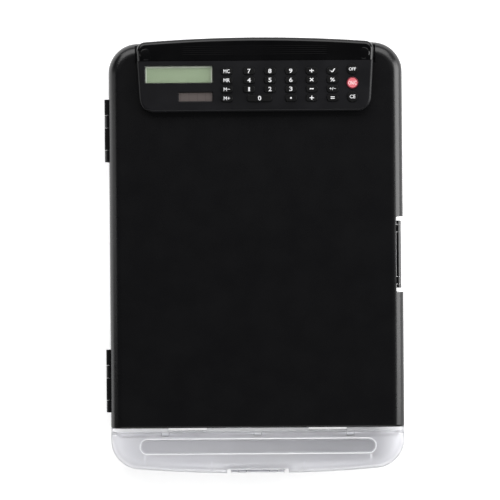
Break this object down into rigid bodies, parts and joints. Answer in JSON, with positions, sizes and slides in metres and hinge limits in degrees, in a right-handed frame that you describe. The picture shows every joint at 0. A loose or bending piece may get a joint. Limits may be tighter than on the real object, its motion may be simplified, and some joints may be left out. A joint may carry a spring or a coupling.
{
  "type": "storage clipboard box",
  "caption": "Flat hinged storage clipboard: a black writing board with a calculator clip over a frosted paper tray, and a frosted pen compartment with its own lid below.",
  "frame": {"origin": "centre of the flat back face, on the plane that the box rests on", "axes": "+Z out of the writing surface, +Y towards the clip, +X to the writer's right"},
  "size_m": [0.2517, 0.3677, 0.0381],
  "materials": {
    "frosted_plastic": "frosted, translucent, moulded",
    "black_plastic": "fine satin texture",
    "gloss_black_plastic": "glossy",
    "charcoal_plastic": "matte",
    "black_key": "glossy, white legend",
    "red_key": "glossy, white legend",
    "steel": "bright drawn wire",
    "soft_rubber": "matte",
    "silicone_rubber": "matte",
    "clear_window": "polished",
    "display_glass": "satin polariser",
    "solar_film": "glossy with fine lines",
    "circuit_laminate": "satin lacquer"
  },
  "bodies": {
    "base": {"base_tray": "frosted_plastic", "upper_hinge_leaf": "black_plastic", "lower_hinge_leaf": "black_plastic", "upper_hinge_pin": "steel", "lower_hinge_pin": "steel", "pen_lid_pins": "steel"},
    "writing_board": {"front_cover": "black_plastic", "main_latch_pin": "steel", "clip_axle": "steel", "clip_springs": "steel"},
    "clip": {"clip_lever": "gloss_black_plastic", "calculator_case": "charcoal_plastic", "display_window": "clear_window", "display_panel": "display_glass", "solar_cell": "solar_film", "circuit_board": "circuit_laminate", "key_mat": "silicone_rubber", "button_cell": "steel", "clip_screws": "steel", "jaw_grip": "soft_rubber"},
    "main_latch": {"main_latch": "black_plastic"},
    "pen_lid": {"pen_lid": "frosted_plastic", "pen_latch_pin": "steel"},
    "pen_latch": {"pen_latch": "frosted_plastic"},
    "key_7": {"key_7": "black_key"},
    "key_8": {"key_8": "black_key"},
    "key_9": {"key_9": "black_key"},
    "key_4": {"key_4": "black_key"},
    "key_5": {"key_5": "black_key"},
    "key_6": {"key_6": "black_key"},
    "key_1": {"key_1": "black_key"},
    "key_2": {"key_2": "black_key"},
    "key_3": {"key_3": "black_key"},
    "key_0": {"key_0": "black_key"},
    "key_point": {"key_point": "black_key"},
    "key_divide": {"key_divide": "black_key"},
    "key_multiply": {"key_multiply": "black_key"},
    "key_minus": {"key_minus": "black_key"},
    "key_plus": {"key_plus": "black_key"},
    "key_root": {"key_root": "black_key"},
    "key_percent": {"key_percent": "black_key"},
    "key_sign": {"key_sign": "black_key"},
    "key_equals": {"key_equals": "black_key"},
    "key_mc": {"key_mc": "black_key"},
    "key_mr": {"key_mr": "black_key"},
    "key_m_minus": {"key_m_minus": "black_key"},
    "key_m_plus": {"key_m_plus": "black_key"},
    "key_off": {"key_off": "black_key"},
    "key_on_clear": {"key_on_clear": "red_key"},
    "key_clear_entry": {"key_clear_entry": "black_key"}
  },
  "joints": [
    {"name": "board_hinge", "type": "hinge", "parent": "base", "child": "writing_board", "pos_m": [-0.1245, 0, 0.01615], "axis": [0, -1, 0], "range_deg": [0, 165]},
    {"name": "clip_pivot", "type": "hinge", "parent": "writing_board", "child": "clip", "pos_m": [0, 0.171, 0.031], "axis": [-1, 0, 0], "range_deg": [0, 12], "stiffness_Nm_per_rad": 1.5, "springref_deg": -28.65, "deforming": ["clip_springs"]},
    {"name": "main_latch_flap", "type": "hinge", "parent": "writing_board", "child": "main_latch", "pos_m": [0.1201, 0.0005, 0.0226], "axis": [0, -1, 0], "range_deg": [0, 100]},
    {"name": "pen_lid_hinge", "type": "hinge", "parent": "base", "child": "pen_lid", "pos_m": [0, -0.1502, 0.0256], "axis": [-1, 0, 0], "range_deg": [0, 105]},
    {"name": "pen_latch_flap", "type": "hinge", "parent": "pen_lid", "child": "pen_latch", "pos_m": [0, -0.1818, 0.0215], "axis": [-1, 0, 0], "range_deg": [0, 90]},
    {"name": "key_7_press", "type": "slide", "parent": "clip", "child": "key_7", "axis": [0, 0, -1], "range_m": [0, 0.0008], "stiffness_N_per_m": 400, "springref_m": -0.001},
    {"name": "key_8_press", "type": "slide", "parent": "clip", "child": "key_8", "axis": [0, 0, -1], "range_m": [0, 0.0008], "stiffness_N_per_m": 400, "springref_m": -0.001},
    {"name": "key_9_press", "type": "slide", "parent": "clip", "child": "key_9", "axis": [0, 0, -1], "range_m": [0, 0.0008], "stiffness_N_per_m": 400, "springref_m": -0.001},
    {"name": "key_4_press", "type": "slide", "parent": "clip", "child": "key_4", "axis": [0, 0, -1], "range_m": [0, 0.0008], "stiffness_N_per_m": 400, "springref_m": -0.001},
    {"name": "key_5_press", "type": "slide", "parent": "clip", "child": "key_5", "axis": [0, 0, -1], "range_m": [0, 0.0008], "stiffness_N_per_m": 400, "springref_m": -0.001},
    {"name": "key_6_press", "type": "slide", "parent": "clip", "child": "key_6", "axis": [0, 0, -1], "range_m": [0, 0.0008], "stiffness_N_per_m": 400, "springref_m": -0.001},
    {"name": "key_1_press", "type": "slide", "parent": "clip", "child": "key_1", "axis": [0, 0, -1], "range_m": [0, 0.0008], "stiffness_N_per_m": 400, "springref_m": -0.001},
    {"name": "key_2_press", "type": "slide", "parent": "clip", "child": "key_2", "axis": [0, 0, -1], "range_m": [0, 0.0008], "stiffness_N_per_m": 400, "springref_m": -0.001},
    {"name": "key_3_press", "type": "slide", "parent": "clip", "child": "key_3", "axis": [0, 0, -1], "range_m": [0, 0.0008], "stiffness_N_per_m": 400, "springref_m": -0.001},
    {"name": "key_0_press", "type": "slide", "parent": "clip", "child": "key_0", "axis": [0, 0, -1], "range_m": [0, 0.0008], "stiffness_N_per_m": 400, "springref_m": -0.001},
    {"name": "key_point_press", "type": "slide", "parent": "clip", "child": "key_point", "axis": [0, 0, -1], "range_m": [0, 0.0008], "stiffness_N_per_m": 400, "springref_m": -0.001},
    {"name": "key_divide_press", "type": "slide", "parent": "clip", "child": "key_divide", "axis": [0, 0, -1], "range_m": [0, 0.0008], "stiffness_N_per_m": 400, "springref_m": -0.001},
    {"name": "key_multiply_press", "type": "slide", "parent": "clip", "child": "key_multiply", "axis": [0, 0, -1], "range_m": [0, 0.0008], "stiffness_N_per_m": 400, "springref_m": -0.001},
    {"name": "key_minus_press", "type": "slide", "parent": "clip", "child": "key_minus", "axis": [0, 0, -1], "range_m": [0, 0.0008], "stiffness_N_per_m": 400, "springref_m": -0.001},
    {"name": "key_plus_press", "type": "slide", "parent": "clip", "child": "key_plus", "axis": [0, 0, -1], "range_m": [0, 0.0008], "stiffness_N_per_m": 400, "springref_m": -0.001},
    {"name": "key_root_press", "type": "slide", "parent": "clip", "child": "key_root", "axis": [0, 0, -1], "range_m": [0, 0.0008], "stiffness_N_per_m": 400, "springref_m": -0.001},
    {"name": "key_percent_press", "type": "slide", "parent": "clip", "child": "key_percent", "axis": [0, 0, -1], "range_m": [0, 0.0008], "stiffness_N_per_m": 400, "springref_m": -0.001},
    {"name": "key_sign_press", "type": "slide", "parent": "clip", "child": "key_sign", "axis": [0, 0, -1], "range_m": [0, 0.0008], "stiffness_N_per_m": 400, "springref_m": -0.001},
    {"name": "key_equals_press", "type": "slide", "parent": "clip", "child": "key_equals", "axis": [0, 0, -1], "range_m": [0, 0.0008], "stiffness_N_per_m": 400, "springref_m": -0.001},
    {"name": "key_mc_press", "type": "slide", "parent": "clip", "child": "key_mc", "axis": [0, 0, -1], "range_m": [0, 0.0008], "stiffness_N_per_m": 400, "springref_m": -0.001},
    {"name": "key_mr_press", "type": "slide", "parent": "clip", "child": "key_mr", "axis": [0, 0, -1], "range_m": [0, 0.0008], "stiffness_N_per_m": 400, "springref_m": -0.001},
    {"name": "key_m_minus_press", "type": "slide", "parent": "clip", "child": "key_m_minus", "axis": [0, 0, -1], "range_m": [0, 0.0008], "stiffness_N_per_m": 400, "springref_m": -0.001},
    {"name": "key_m_plus_press", "type": "slide", "parent": "clip", "child": "key_m_plus", "axis": [0, 0, -1], "range_m": [0, 0.0008], "stiffness_N_per_m": 400, "springref_m": -0.001},
    {"name": "key_off_press", "type": "slide", "parent": "clip", "child": "key_off", "axis": [0, 0, -1], "range_m": [0, 0.0008], "stiffness_N_per_m": 400, "springref_m": -0.001},
    {"name": "key_on_clear_press", "type": "slide", "parent": "clip", "child": "key_on_clear", "axis": [0, 0, -1], "range_m": [0, 0.0008], "stiffness_N_per_m": 400, "springref_m": -0.001},
    {"name": "key_clear_entry_press", "type": "slide", "parent": "clip", "child": "key_clear_entry", "axis": [0, 0, -1], "range_m": [0, 0.0008], "stiffness_N_per_m": 400, "springref_m": -0.001}
  ]
}
